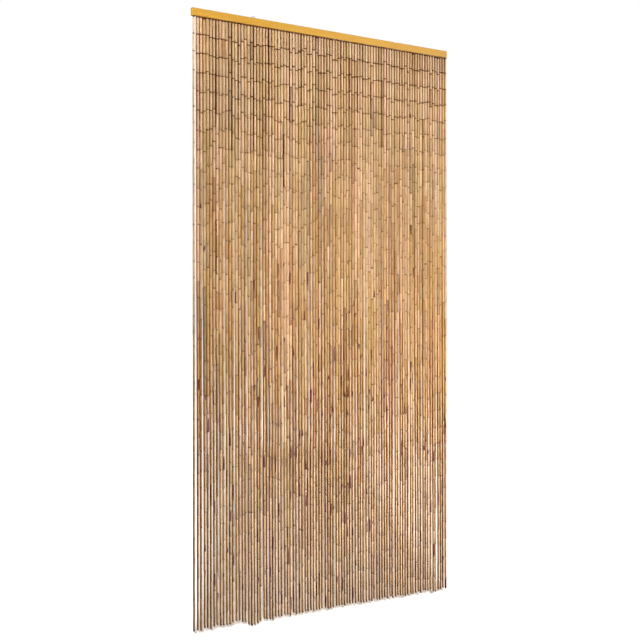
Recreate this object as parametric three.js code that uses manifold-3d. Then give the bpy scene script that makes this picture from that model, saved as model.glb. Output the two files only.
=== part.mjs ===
// A bamboo fly curtain: a wooden header bar with two steel hanging plates on its back, and ninety strands
// of bamboo tubes that hang from holes drilled in its underside.
//
// Millimetres. +Z is up, +X runs along the bar to the right as seen from the front, and the front faces -Y.
// The origin is the middle of the bar's top edge, in the plane of the hanging plates' rear faces.

import * as THREE from "three";
import { mergeVertices } from "three/addons/utils/BufferGeometryUtils.js";
import Module from "manifold-3d";

// Header bar
const barLength = 1000;
const barHeight = 25;
const barDepth = 12;
const barEdgeRadius = 2;
const barEndChamfer = 0.8;
const barEdgeSteps = 3;

// Hanging plates
const plateWidth = 13;
const plateThickness = 1.5;
const plateDrop = 20;
const hangHoleRadius = 3.3;
const hangHoleLift = 4.4;
const plateRimAboveHole = 1.8;
const plateArcSteps = 10;
const plateInset = 219;
const plateCentres = {
  left: -barLength / 2 + plateInset,
  right: barLength / 2 - plateInset,
};

// Countersunk screws that hold the plates
const screwHeadRadius = 2.8;
const screwShankRadius = 1.3;
const screwLength = 10;
const screwDrops = { upper: 5.5, lower: 15 };
const screwCrossLength = 3.4;
const screwCrossWidth = 0.7;
const screwCrossDepth = 0.7;
const screwSides = 16;
const pilotHoleSides = 10;

// Clearance between pieces that fit together
const fitGap = 0.3;

// Strands. The first one hangs straight and a little apart, and the others lean to the right by their ends.
const strandCount = 90;
const firstStrandInset = 7.6;
const secondStrandInset = 20.5;
const lastStrandInset = 5.5;
const strandLean = 3;
const strandTopWidth = 10.2;
const strandBottomWidth = 6.6;
const strandDrop = 1985;
const strandSides = 6;
const strandSections = 3;

// Angles and a factor that make the uneven values look random
const scatter = { perStrand: 12.9898, perKind: 78.233, spread: 43758.5453 };

// How far the strands stray from even spacing, either way. Each kind draws its own set of values.
const stray = {
  alongTop: { kind: 1, most: 0.2 },
  alongBottom: { kind: 2, most: 1.1 },
  depthBottom: { kind: 3, most: 0.9 },
  length: { kind: 4, most: 4 },
};

// Stretches of strands that hang lower or higher than the rest, by the number of the first and last strand
const unevenEnds = [
  { first: 3, last: 3, lower: 7 },
  { first: 7, last: 13, lower: -2 },
  { first: 14, last: 15, lower: -8 },
  { first: 18, last: 21, lower: 11 },
  { first: 25, last: 26, lower: 4 },
  { first: 74, last: 77, lower: 4 },
  { first: 85, last: 87, lower: 5 },
];

// Gaps that open wider towards the bottom, by the strand on their left
const wideGaps = [
  { after: 22, opens: 1.3 },
  { after: 29, opens: 1.2 },
  { after: 43, opens: 1.4 },
  { after: 47, opens: 1.5 },
  { after: 58, opens: 1.0 },
  { after: 62, opens: 1.1 },
  { after: 69, opens: 1.5 },
  { after: 75, opens: 1.4 },
  { after: 84, opens: 1.3 },
  { after: 86, opens: 1.1 },
  { after: 89, opens: 0.8 },
];

// The strip that stands for the strings between the bar and the first tubes
const stripHeight = 3;
const stripDepth = 3;
const toothTopBelowStrip = 0.6;

// Holes that take the strings
const stringHoleRadius = 1.2;
const stringHoleDepth = 8;
const stringHoleSides = 6;

// Vertices nearer than this are one vertex
const weldDistance = 1e-4;

const wasm = await Module();
wasm.setup();

const wood = new THREE.MeshStandardMaterial({ color: 0xe9b247, roughness: 0.45, metalness: 0 });
const bamboo = new THREE.MeshStandardMaterial({ color: 0xc99f6b, roughness: 0.55, metalness: 0 });
const steel = new THREE.MeshStandardMaterial({ color: 0xb9bbbd, roughness: 0.35, metalness: 1 });
const screwSteel = new THREE.MeshStandardMaterial({ color: 0xa6a49c, roughness: 0.4, metalness: 1 });

const barBack = -plateThickness - fitGap;
const barMiddle = barBack - barDepth / 2;

// Turns a closed geometry into a solid that can be cut and joined.
function solidOf(geometry) {
  const bare = geometry.clone();
  bare.deleteAttribute("normal");
  bare.deleteAttribute("uv");
  const merged = mergeVertices(bare, weldDistance);
  return new wasm.Manifold(new wasm.Mesh({
    numProp: 3,
    vertProperties: new Float32Array(merged.attributes.position.array),
    triVerts: new Uint32Array(merged.index.array),
  }));
}

// Turns a solid back into a geometry.
function geometryOf(solid) {
  const mesh = solid.getMesh();
  const geometry = new THREE.BufferGeometry();
  geometry.setAttribute("position", new THREE.BufferAttribute(mesh.vertProperties, mesh.numProp));
  geometry.setIndex(new THREE.BufferAttribute(mesh.triVerts, 1));
  geometry.computeVertexNormals();
  return geometry;
}

function namedMesh(name, geometry, material) {
  const mesh = new THREE.Mesh(geometry, material);
  mesh.name = name;
  return mesh;
}

// A repeatable uneven value for a strand, from -most to most, from the far decimals of a sine.
function uneven(strand, { kind, most }) {
  const turned = Math.sin(strand * scatter.perStrand + kind * scatter.perKind) * scatter.spread;
  return most * (2 * (turned - Math.floor(turned)) - 1);
}

// The bar's section with rounded edges, drawn across its depth and height.
function barSection() {
  const width = barDepth / 2 - barEdgeRadius;
  const height = barHeight / 2 - barEdgeRadius;
  const section = new THREE.Shape();
  section.absarc(width, height, barEdgeRadius, 0, Math.PI / 2);
  section.absarc(-width, height, barEdgeRadius, Math.PI / 2, Math.PI);
  section.absarc(-width, -height, barEdgeRadius, Math.PI, 1.5 * Math.PI);
  section.absarc(width, -height, barEdgeRadius, 1.5 * Math.PI, 2 * Math.PI);
  return section;
}

// Where each strand hangs along the bar.
function strandHome(strand) {
  if (strand === 1) {
    return -barLength / 2 + firstStrandInset;
  }
  const run = barLength - secondStrandInset - lastStrandInset;
  return -barLength / 2 + secondStrandInset + run * (strand - 2) / (strandCount - 2);
}

// How far a strand stands from its home, at a share of its drop from 0 at the top to 1 at the bottom.
function strandShift(strand, share) {
  let shift = uneven(strand, stray.alongTop) + uneven(strand, stray.alongBottom) * share;
  const lean = strand === 1 ? 0 : strandLean * share;
  for (const gap of wideGaps) {
    if (strand === gap.after) {
      shift = shift * (1 - share) - gap.opens * share;
    }
    if (strand === gap.after + 1) {
      shift = shift * (1 - share) + gap.opens * share;
    }
  }
  return shift + lean;
}

function strandLength(strand) {
  let length = strandDrop - barHeight + uneven(strand, stray.length);
  for (const stretch of unevenEnds) {
    if (strand >= stretch.first && strand <= stretch.last) {
      length += stretch.lower;
    }
  }
  return length;
}

// One strand as a slim prism that narrows downwards and leans as the strand does.
function strandGeometry(strand) {
  const top = -barHeight - fitGap - toothTopBelowStrip;
  const bottom = -barHeight - strandLength(strand);
  const length = top - bottom;
  const geometry = new THREE.CylinderGeometry(
    strandTopWidth / 2, strandBottomWidth / 2, length, strandSides, strandSections);
  geometry.rotateX(Math.PI / 2);
  geometry.rotateZ(Math.PI / 2);
  geometry.translate(0, 0, (top + bottom) / 2);
  const place = geometry.attributes.position;
  for (let i = 0; i < place.count; i += 1) {
    const share = (top - place.getZ(i)) / length;
    place.setX(i, place.getX(i) + strandHome(strand) + strandShift(strand, share));
    place.setY(i, place.getY(i) + barMiddle + uneven(strand, stray.depthBottom) * share);
  }
  return geometry;
}

// All strands as one comb, joined by a thin strip just under the bar.
function strandComb() {
  const left = strandHome(1);
  const right = strandHome(strandCount);
  const strip = new THREE.BoxGeometry(right - left, stripDepth, stripHeight);
  strip.translate((left + right) / 2, barMiddle, -barHeight - fitGap - stripHeight / 2);
  const teeth = [];
  for (let strand = 1; strand <= strandCount; strand += 1) {
    teeth.push(solidOf(strandGeometry(strand)));
  }
  return geometryOf(wasm.Manifold.union([solidOf(strip), ...teeth]));
}

// Each screw's name and place: along the bar, and down from its top edge.
function screwPlaces() {
  const places = [];
  for (const [side, x] of Object.entries(plateCentres)) {
    for (const [level, drop] of Object.entries(screwDrops)) {
      places.push({ name: `hanger_screw_${side}_${level}`, x, z: -drop });
    }
  }
  return places;
}

// A cylinder that runs forwards, along -Y, from the plane of the plates' rear faces.
function forwardCylinder(radius, length, sides) {
  const geometry = new THREE.CylinderGeometry(radius, radius, length, sides);
  geometry.translate(0, -length / 2, 0);
  return geometry;
}

function headerBar() {
  const geometry = new THREE.ExtrudeGeometry(barSection(), {
    depth: barLength - 2 * barEndChamfer,
    bevelEnabled: true,
    bevelThickness: barEndChamfer,
    bevelSize: barEndChamfer,
    bevelOffset: -barEndChamfer,
    bevelSegments: 1,
    curveSegments: barEdgeSteps,
  });
  geometry.translate(0, 0, barEndChamfer - barLength / 2);
  geometry.rotateX(Math.PI / 2);
  geometry.rotateZ(Math.PI / 2);
  geometry.translate(0, barMiddle, -barHeight / 2);
  const cuts = [];
  for (let strand = 1; strand <= strandCount; strand += 1) {
    const hole = new THREE.CylinderGeometry(
      stringHoleRadius, stringHoleRadius, 2 * stringHoleDepth, stringHoleSides);
    hole.rotateX(Math.PI / 2);
    hole.translate(strandHome(strand), barMiddle, -barHeight);
    cuts.push(solidOf(hole));
  }
  for (const place of screwPlaces()) {
    const hole = forwardCylinder(screwShankRadius + fitGap, screwLength + fitGap, pilotHoleSides);
    hole.translate(place.x, 0, place.z);
    cuts.push(solidOf(hole));
  }
  return geometryOf(wasm.Manifold.difference([solidOf(geometry), ...cuts]));
}

// A countersunk screw's outline turned about its axis, or with a clearance the recess that it sits in.
function countersunk(clearance) {
  const headDepth = screwHeadRadius - screwShankRadius;
  const outline = [
    new THREE.Vector2(0, 0),
    new THREE.Vector2(screwHeadRadius + clearance, 0),
    new THREE.Vector2(screwShankRadius + clearance, -headDepth),
    new THREE.Vector2(screwShankRadius + clearance, -screwLength),
    new THREE.Vector2(0, -screwLength),
  ];
  return new THREE.LatheGeometry(outline.reverse(), screwSides);
}

function hangerScrew(place) {
  const cuts = [];
  for (const quarterTurns of [0, 1]) {
    const slot = new THREE.BoxGeometry(screwCrossLength, 2 * screwCrossDepth, screwCrossWidth);
    slot.rotateY(quarterTurns * Math.PI / 2);
    cuts.push(solidOf(slot));
  }
  const screw = wasm.Manifold.difference([solidOf(countersunk(0)), ...cuts]);
  const geometry = geometryOf(screw);
  geometry.translate(place.x, 0, place.z);
  return geometry;
}

function hangerPlate(x) {
  const outline = new THREE.Shape();
  const archRadius = plateWidth / 2;
  const archCentre = hangHoleLift + hangHoleRadius + plateRimAboveHole - archRadius;
  outline.moveTo(-archRadius, -plateDrop);
  outline.lineTo(archRadius, -plateDrop);
  outline.absarc(0, archCentre, archRadius, 0, Math.PI);
  const hole = new THREE.Path();
  hole.absarc(0, hangHoleLift, hangHoleRadius, 0, 2 * Math.PI);
  outline.holes.push(hole);
  const geometry = new THREE.ExtrudeGeometry(outline, {
    depth: plateThickness,
    bevelEnabled: false,
    curveSegments: plateArcSteps,
  });
  geometry.rotateX(Math.PI / 2);
  const cuts = Object.values(screwDrops).map((drop) => {
    const recess = countersunk(fitGap);
    recess.translate(0, 0, -drop);
    return solidOf(recess);
  });
  const cut = geometryOf(wasm.Manifold.difference([solidOf(geometry), ...cuts]));
  cut.translate(x, 0, 0);
  return cut;
}

const curtain = new THREE.Group();
curtain.add(namedMesh("header_bar", headerBar(), wood));
for (const [side, x] of Object.entries(plateCentres)) {
  curtain.add(namedMesh(`hanger_plate_${side}`, hangerPlate(x), steel));
}
for (const place of screwPlaces()) {
  curtain.add(namedMesh(place.name, hangerScrew(place), screwSteel));
}
curtain.add(namedMesh("strand_comb", strandComb(), bamboo));

export default curtain;
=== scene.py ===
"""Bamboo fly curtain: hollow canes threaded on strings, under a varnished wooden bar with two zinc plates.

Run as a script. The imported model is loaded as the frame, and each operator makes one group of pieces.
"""
import math
from types import SimpleNamespace

import bpy
import numpy as np
from bpy.props import FloatProperty, FloatVectorProperty, PointerProperty
from bpy.types import Operator, Panel, PropertyGroup
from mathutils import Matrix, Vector


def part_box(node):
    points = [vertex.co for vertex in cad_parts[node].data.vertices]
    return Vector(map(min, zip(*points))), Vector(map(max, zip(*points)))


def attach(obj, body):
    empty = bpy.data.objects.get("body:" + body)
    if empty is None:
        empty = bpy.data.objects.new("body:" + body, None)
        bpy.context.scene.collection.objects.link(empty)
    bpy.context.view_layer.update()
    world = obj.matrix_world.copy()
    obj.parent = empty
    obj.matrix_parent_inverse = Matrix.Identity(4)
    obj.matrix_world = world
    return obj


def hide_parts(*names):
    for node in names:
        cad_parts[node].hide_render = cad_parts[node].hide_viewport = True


bl_info = {
    "name": "Bamboo Fly Curtain",
    "version": (1, 0, 0),
    "blender": (4, 5, 0),
    "location": "3D View > Sidebar > Fly Curtain",
    "description": "Makes the looks of a bamboo fly curtain round its packed frame",
    "category": "Add Mesh",
}

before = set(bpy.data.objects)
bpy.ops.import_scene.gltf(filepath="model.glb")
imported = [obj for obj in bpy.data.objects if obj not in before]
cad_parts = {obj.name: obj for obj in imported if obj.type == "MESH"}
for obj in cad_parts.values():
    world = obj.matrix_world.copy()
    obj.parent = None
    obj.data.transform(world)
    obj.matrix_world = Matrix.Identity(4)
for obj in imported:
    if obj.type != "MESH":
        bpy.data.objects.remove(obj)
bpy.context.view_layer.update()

MM = 0.001
BODY = "root"
BAR_LOW, BAR_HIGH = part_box("header_bar")
BAR_LENGTH = BAR_HIGH.x - BAR_LOW.x
BAR_MIDDLE = (BAR_LOW.y + BAR_HIGH.y) / 2
UV_MAP = "OFBake"

# The seed of the random draws, and what sets apart those for the canes and those for the strings
SEED, CANE_DRAWS, STRING_DRAWS = 2504, 7, 3

# How the strands hang, as in the frame's comb. The first one hangs a little apart. Here it leans as the
# others do, and in the comb it is straight.
STRANDS = 90
FIRST_STRAND_INSET = 7.6 * MM
SECOND_STRAND_INSET = 20.5 * MM
LAST_STRAND_INSET = 5.5 * MM
STRAND_LEAN = 3 * MM
STRAND_DROP = 1985 * MM
SCATTER_PER_STRAND = 12.9898
SCATTER_PER_KIND = 78.233
SCATTER_SPREAD = 43758.5453

# How far the strands stray from even spacing, either way: the kind of draw, and the most. The comb doesn't
# have the depth halfway down, where the crowded canes push each other to and fro.
STRAY_ALONG_TOP = (1, 0.2 * MM)
STRAY_ALONG_BOTTOM = (2, 1.1 * MM)
STRAY_DEPTH_BOTTOM = (3, 0.9 * MM)
STRAY_LENGTH = (4, 4 * MM)
STRAY_DEPTH_MIDDLE = (5, 1.7 * MM)

# Stretches of strands that hang lower than the rest: first strand, last strand, millimetres lower
LOWER_ENDS = ((3, 3, 7), (7, 13, -2), (14, 15, -8), (18, 21, 11), (25, 26, 4), (74, 77, 4), (85, 87, 5))

# Gaps that open towards the bottom: the strand on their left, and millimetres that each side moves
WIDE_GAPS = {
    22: 1.3, 29: 1.2, 43: 1.4, 47: 1.5, 58: 1.0, 62: 1.1, 69: 1.5, 75: 1.4, 84: 1.3, 86: 1.1, 89: 0.8
}

# How many strands are threaded together, at least and fewer than, how much their first canes differ as one
# and each by itself, the share of odd first canes, and how much more these differ, at least and at most
THREADED_TOGETHER = (3, 9)
FIRST_CANE_SHARED = 4.5 * MM
FIRST_CANE_OWN = 1.2 * MM
ODD_FIRST_CANES = 0.28
ODD_FIRST_CANE = (5 * MM, 10 * MM)

# How far a strand's pitch is from the usual one, how far each cane's is from that by the number of canes
# above it, the share of the pitch that the last cane is cut to, and how joints gape
PITCH_DRIFT = 0.8 * MM
UNEVEN_PITCH = ((0, 1.0 * MM), (8, 6.0 * MM))
LAST_CANE_SHARE = (0.45, 1.0)
UNEVEN_GAPE = (0.75, 1.3)

# Read off by the share of the strand's drop, as other tables below: how much of their narrowing the canes
# have done, how much their thickness varies, and how thin and how bright the first strand's are
NARROWING = ((0, 0), (0.4, 0.08), (0.55, 0.20), (0.65, 0.40), (0.8, 0.80), (1, 1))
UNEVEN_THICKNESS = ((0, 0.01), (1, 0.03))
FIRST_STRAND_THIN = ((0, 0.62), (1, 0.92))
FIRST_STRAND_SHADE = ((0, 1.35), (1, 0.5))

# The most that a cane is thinner or thicker, in times the variation, and how its bore varies
THICKNESS_LIMITS = (-2, 1.5)
UNEVEN_BORE = (0.85, 1.15)

# How far a cane is from straight and round: its bow, usually and at most, the sway of its ends, how oval it
# is at most, the slope of its ends, usually and at most, and where its knuckle may be
BOW, MOST_BOW = 0.15 * MM, 0.35 * MM
SWAY = 0.16 * MM
OVAL = 0.022
END_SLOPE, MOST_END_SLOPE = 0.025, 0.06
KNUCKLE_AT = (0.22, 0.78)

# How many neighbouring strands are in a cane piece, how many sides a cane has, and how far apart the canes
# are cut from the pattern of the grain
STRANDS_PER_PIECE = 9
CANE_SIDES = 14
GRAIN_SPREAD = 5

# One cane's rings, from the lower end of the bore round the outside to its upper end: place along the cane
# (None at the knuckle), shift from there, wall, how far it stands out, and share of the knuckle's dark line
LOWER_END = ((0, 0, "bore", 0, 0), (0, 0, "skin", -0.15 * MM, 0), (0, 0.2 * MM, "skin", 0, 0))
UPPER_END = ((1, -0.2 * MM, "skin", 0, 0), (1, 0, "skin", -0.15 * MM, 0), (1, 0, "bore", 0, 0))
PLAIN_RINGS = (*LOWER_END, (0.5, 0, "skin", 0, 0), *UPPER_END)
KNUCKLE_RINGS = (
    *LOWER_END,
    (None, -4.0 * MM, "skin", 0, 0),
    (None, -0.9 * MM, "skin", 0.42 * MM, 0.2),
    (None, 0, "skin", 0.12 * MM, 1),
    (None, 0.9 * MM, "skin", 0.34 * MM, 0.2),
    (None, 4.0 * MM, "skin", 0, 0),
    *UPPER_END,
)

# Zones of the surface, and kinds of stored values by how many numbers each has, as the material reads them
BORE, CUT_END, SKIN = 0.0, 0.5, 1.0
VALUE_KINDS = {1: ("FLOAT", "value"), 3: ("FLOAT_VECTOR", "vector"), 4: ("FLOAT_COLOR", "color")}

# Shares of each cane colour, at these shares of the strand's drop
COLOURS_AT = (0, 0.35, 0.6, 1)
COLOUR_SHARES = {
    "straw": (0.44, 0.16, 0.08, 0.30),
    "pale_tan": (0.50, 0.29, 0.20, 0.20),
    "grey_buff": (0.02, 0.08, 0.06, 0.20),
    "gold": (0.03, 0.30, 0.32, 0.04),
    "orange": (0.01, 0.11, 0.18, 0.04),
    "rose": (0.00, 0.00, 0.06, 0.15),
    "olive": (0.00, 0.02, 0.02, 0.02),
    "brown": (0.00, 0.04, 0.06, 0.04),
    "maroon": (0.00, 0.00, 0.00, 0.01),
}

# How far the canes' colours are drawn in to their average, how far each channel strays and its limits, the
# chance that a cane keeps the colour of the one above it, and how far its shade strays and its limits
COLOURS_ALIKE = ((0, 0.3), (0.3, 0.5), (0.5, 0.45), (0.7, 0.55), (1, 0.6))
COLOUR_STRAY = (0.022, 0.022, 0.055)
COLOUR_LIMITS = (0.75, 1.3)
COLOUR_HELD = 0.68
SHADE_STRAY = 0.05
SHADE_LIMITS = (0.85, 1.15)

# How the first strand's colours are mixed from its own and the weathered one, and the brightest of all
FIRST_STRAND_MIX = (0.4, 1.2)
BRIGHTEST = 0.95

# The share of the canes with a dark stain down one side, how far it turns from the left or right, and the
# least and most of the cane's length that it reaches along
STAINED = ((0, 0), (0.38, 0.02), (0.48, 0.14), (0.6, 0.24), (0.7, 0.30), (1, 0.30))
STAIN_TURN = math.radians(35)
STAIN_REACH = (0.3, 1.0)

# Strands with a side painted dark along its whole canes, as painted shade of the dark groove beside it, by
# the way
# that it faces: strand, and from and to which share of the drop
LEFT_SIDE = math.radians(200)
RIGHT_SIDE = math.radians(335)
PAINTED_GROOVE_LEFT_SIDES = (
    (8, 0.00, 0.16), (8, 0.34, 0.43), (13, 0.00, 0.20), (15, 0.00, 0.20), (20, 0.00, 0.20),
    (25, 0.00, 0.12), (30, 0.17, 0.26), (32, 0.00, 0.16), (36, 0.00, 0.12), (50, 0.00, 0.08),
    (53, 0.04, 0.12), (56, 0.05, 0.12), (61, 0.08, 0.14),
)
PAINTED_GROOVE_RIGHT_SIDES = ((7, 0.08, 0.18), (24, 0.00, 0.06), (29, 0.17, 0.22))
PAINTED_GROOVE_SIDES = {LEFT_SIDE: PAINTED_GROOVE_LEFT_SIDES, RIGHT_SIDE: PAINTED_GROOVE_RIGHT_SIDES}
WHOLE_CANE = 1.3

# Painted shade on the sides that face the neighbouring strands: how dark it is by the share of the drop, and
# how that differs by strand and by cane
PAINTED_SIDE_SHADE = ((0, 0.9), (0.15, 0.8), (0.25, 0.45), (0.38, 0.8), (0.55, 1.1), (1, 1.2))
PAINTED_SIDE_SHADE_BY_STRAND = (0.1, 1.35)
PAINTED_SIDE_SHADE_BY_CANE = (0.8, 1.2)

# Where stains and the painted dark grooves start round a cane, and where the painted shade on the sides
# starts, as the cosine of the angle from their middle, and how fast they deepen from there, and the same for
# the end of stains and painted grooves along the cane
STAIN_AND_GROOVE_EDGE = (0.52, 2.4)
PAINTED_SIDE_SHADE_EDGE = (0.5, 2.2)
STAIN_AND_GROOVE_END = (0, 4)

# How evenly the canes' ends are dark round their rim, and how much further down the first canes' dark upper
# end reaches, as a painted shadow of the bar
EVENLY_DARK_ENDS = ((0, 0.95), (0.1, 0.7), (0.2, 0.2), (0.3, 0.05), (0.5, 0), (1, 0))
PAINTED_BAR_SHADOW = 2.0 * MM

# The baked map of a cane piece has a cell for each cane. How high its strips are there, in millimetres of
# cane: a cut end's, the bore's, and the lowest that one of the skin may be
CELL_COLUMNS = 26
CELL_ROWS = 12
CELL_MARGIN = 0.04
CUT_END_STRIP, BORE_STRIP, LOWEST_STRIP = 2.2, 4.0, 1.0

# The strings: how uneven they are, where one leaves its hole, how far it swells above and below a knot, the
# knot's width at the canes' ends, and the end knot from its top: share of its height, and width
STRING_SIDES = 6
UNEVEN_STRING = 0.13
STRING_BELOW_BAR = 0.2 * MM
KNOT_REACH = 1.2 * MM
KNOT_AT_CANES = 0.70
END_KNOT_REACH = 0.3 * MM
END_KNOT = ((0.20, 1.05), (0.60, 0.96))
END_KNOT_TAIL = (0.80, 0.9)

# A string's column on its baked map: its margin, and where it and the cells of the string's ends lie
STRING_MARGIN = 0.07
COLUMN_LOW, COLUMN_HIGH = 0.01, 0.97
CAP_LOW, CAP_HIGH, CAP_WIDTH = 0.98, 0.99, 0.7

# Tints of the cane's own colour, among them the painted shade on the sides that face the neighbouring
# strands and the dark ends, which at the first canes' tops also carry the painted shadow of the bar; and the
# colours of its cut ends and its bore
FIBRE_TINT = (0.66, 0.56, 0.44, 1)
SPOT_TINT = (0.55, 0.42, 0.30, 1)
PAINTED_SIDE_SHADE_TINT = (0.38, 0.15, 0.035, 1)
DARK_END_TINT = (0.18, 0.065, 0.022, 1)
CUT_END_COLOUR = (0.50, 0.36, 0.20, 1)
BORE_COLOUR = (0.10, 0.055, 0.03, 1)

# Tints of the string's raised lay, of deeper varnish, and of dull metal, and the metal's spots and edges
LAY_TINT = (2.6, 2.3, 2.0, 1)
VARNISH_TINT = (0.92, 0.84, 0.7, 1)
ZINC_TINT = (0.72, 0.73, 0.75, 1)
ZINC_SPOT = (0.34, 0.33, 0.32, 1)
ZINC_EDGE = (0.80, 0.80, 0.80, 1)
STEEL_TINT = (0.70, 0.66, 0.60, 1)
STEEL_SPOT = (0.24, 0.21, 0.18, 1)
STEEL_EDGE = (0.85, 0.84, 0.80, 1)

# The floor's size and glow, and the sun that lights the floor alone: strength, softness and turn
FLOOR_REACH = 60.0
FLOOR_SIDES = 64
FLOOR_GLOW = (1.0, 0.85, 0.72, 1)
FLOOR_GLOW_STRENGTH = 0.38
FLOOR_LIGHT_STRENGTH = 7.5
FLOOR_LIGHT_SOFTNESS = math.radians(7)
FLOOR_LIGHT_TURN = (math.radians(66), 0, math.radians(-25.5))
SURROUND_COLOUR = (1.0, 0.88, 0.74, 1)

# The soft panel lights: name, degrees to the right of straight ahead, distance, height, the point across
# and up that it faces, width, height of the panel, degrees that its light spreads, and power in watts
LAMP_COLOUR = (1.0, 0.97, 0.93)
SOFT_LIGHTS = (
    ("side_light_high", 50, 3.0, 0.3, (-0.16, -0.20), 1.0, 0.5, 32, 6.1),
    ("side_light_low", 50, 3.0, -1.2, (0.1, -1.7), 1.0, 0.5, 36, 12.0),
    ("front_light_high", -25, 4.0, -0.3, (0.48, -0.50), 1.4, 0.2, 16, 1.4),
    ("front_light_middle", -25, 4.0, -0.3, (0.34, -0.92), 1.4, 0.2, 14, 1.9),
    ("front_light_low", -25, 4.0, -1.0, (0.2, -1.25), 1.4, 0.3, 20, 1.4),
    ("left_light", -50, 3.0, -0.5, (-0.57, -0.44), 0.12, 1.0, 9, 0.33),
    ("right_light", -10, 3.0, -0.7, (0.56, -0.70), 0.12, 1.0, 9, 0.24),
    ("end_light", -75, 3.0, 0.1, (-0.5, 0.0), 0.3, 0.3, 8, 0.32),
    ("front_light", -20, 4.5, 0.2, (0.2, -0.9), 1.4, 1.2, 40, 3.75),
    ("back_light", 143, 4.0, 0.2, (0.0, -0.9), 1.4, 1.4, 70, 40.0),
)


def length_property(name, about, default):
    """A length that a user may change."""
    return FloatProperty(name=name, description=about, default=default, unit="LENGTH")


def share_property(name, about, default, least, most):
    """A share that a user may change."""
    limits = {"min": least, "max": most}
    return FloatProperty(name=name, description=about, default=default, subtype="FACTOR", **limits)


def colour_property(name, about, default):
    """A colour that a user may change."""
    return FloatVectorProperty(name=name, description=about, default=default, subtype="COLOR")


class CaneProperties(PropertyGroup):
    """Sizes and colours of the bamboo canes."""

    top_diameter: length_property("Top diameter", "Of the canes just under the bar, outside", 10.75 * MM)
    bottom_diameter: length_property("Bottom diameter", "Of the lowest canes, outside", 7.6 * MM)
    pitch: length_property("Pitch", "From one joint of a strand to the next", 59.5 * MM)
    joint_gap: length_property("Joint gap", "Between two canes at the top of a strand", 0.35 * MM)
    low_joint_gap: length_property("Low joint gap", "Between two canes at the end of a strand", 0.4 * MM)
    first_gap: length_property("First gap", "Between the bar and the first cane of a strand", 1.4 * MM)
    bore_share: share_property("Bore", "Diameter of the bore as a share of the outer one", 0.44, 0.2, 0.7)
    knuckle_share: share_property("Knuckles", "Share of the canes that have a knuckle", 0.22, 0, 1)
    straw: colour_property("Straw", "Colour of the palest canes", (0.73, 0.516, 0.33))
    pale_tan: colour_property("Pale tan", "Colour of the usual canes near the top", (0.568, 0.386, 0.202))
    grey_buff: colour_property("Grey buff", "Colour of the weathered canes", (0.33, 0.24, 0.155))
    gold: colour_property("Gold", "Colour of the yellow canes", (0.44, 0.281, 0.098))
    orange: colour_property("Orange", "Colour of the warm canes", (0.42, 0.208, 0.097))
    rose: colour_property("Rose", "Colour of the pinkish brown canes", (0.352, 0.206, 0.134))
    olive: colour_property("Olive", "Colour of the greenish canes", (0.20, 0.14, 0.045))
    brown: colour_property("Brown", "Colour of the dark canes", (0.21, 0.095, 0.04))
    # Maroon is also laid down one side of chosen strands, as painted shade of the dark groove beside them
    maroon: colour_property("Maroon", "Colour of the darkest canes and the stains", (0.105, 0.016, 0.016))


class StringProperties(PropertyGroup):
    """Sizes and colour of the strings and their knots."""

    diameter: length_property("Diameter", "Diameter of the string", 1.1 * MM)
    knot_diameter: length_property("Knot diameter", "Width of the knot in each joint", 6.0 * MM)
    end_knot_height: length_property("End knot height", "Of the knot that holds the last cane", 4.5 * MM)
    depth_in_bar: length_property("Depth in bar", "How far the string goes up into its hole", 6 * MM)
    colour: colour_property("Colour", "Colour of the twine", (0.060, 0.022, 0.018))


class BarProperties(PropertyGroup):
    """Colours of the wooden bar."""

    varnish: colour_property("Varnish", "Colour of the varnished wood", (0.59, 0.325, 0.045))
    grain: colour_property("Grain", "Colour of the late wood in the grain", (0.525, 0.268, 0.035))
    # Laid over every edge of the bar, paler than the varnish
    bare_edge: colour_property("Bare edge", "Colour where the arrises are rubbed", (0.74, 0.48, 0.15))


class HangerProperties(PropertyGroup):
    """Colours of the hanger plates and their screws."""

    zinc: colour_property("Zinc", "Colour of the galvanized plates", (0.60, 0.62, 0.64))
    steel: colour_property("Steel", "Colour of the screws", (0.66, 0.63, 0.56))


class StageProperties(PropertyGroup):
    """The floor, the surround and the camera."""

    floor_height: length_property("Floor height", "Height of the floor, below the bar's top edge", -2.012)
    camera_place: FloatVectorProperty(
        name="Camera place",
        description="Where the camera stands",
        default=(-1.5599, -2.7781, -0.9937),
        subtype="XYZ",
        unit="LENGTH",
    )
    camera_turn: FloatProperty(
        name="Camera turn",
        description="How far the level camera turns from looking straight at the curtain",
        default=math.radians(-28.867),
        subtype="ANGLE",
    )
    camera_lens: FloatProperty(name="Lens", description="In millimetres, on a 36 mm sensor", default=51.98)
    surround: FloatProperty(name="Surround", description="Strength of the light all round", default=0.032)


def uneven(strand, kind, most):
    """A repeatable uneven value for a strand, from -most to most, as in the frame's source."""
    turned = math.sin(strand * SCATTER_PER_STRAND + kind * SCATTER_PER_KIND) * SCATTER_SPREAD
    return most * (2 * (turned - math.floor(turned)) - 1)


def read_off(table, places):
    """Values read off a table of places and values, with straight lines between."""
    return np.interp(places, *zip(*table))


def strand_home(strand):
    """Where a strand hangs along the bar."""
    if strand == 1:
        return BAR_LOW.x + FIRST_STRAND_INSET
    run = BAR_LENGTH - SECOND_STRAND_INSET - LAST_STRAND_INSET
    return BAR_LOW.x + SECOND_STRAND_INSET + run * (strand - 2) / (STRANDS - 2)


def strand_shift(strand, share):
    """How far a strand stands from its home, at a share of its drop."""
    shift = uneven(strand, *STRAY_ALONG_TOP) + uneven(strand, *STRAY_ALONG_BOTTOM) * share
    if strand in WIDE_GAPS:
        shift = shift * (1 - share) - WIDE_GAPS[strand] * MM * share
    if strand - 1 in WIDE_GAPS:
        shift = shift * (1 - share) + WIDE_GAPS[strand - 1] * MM * share
    return shift + STRAND_LEAN * share


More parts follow.
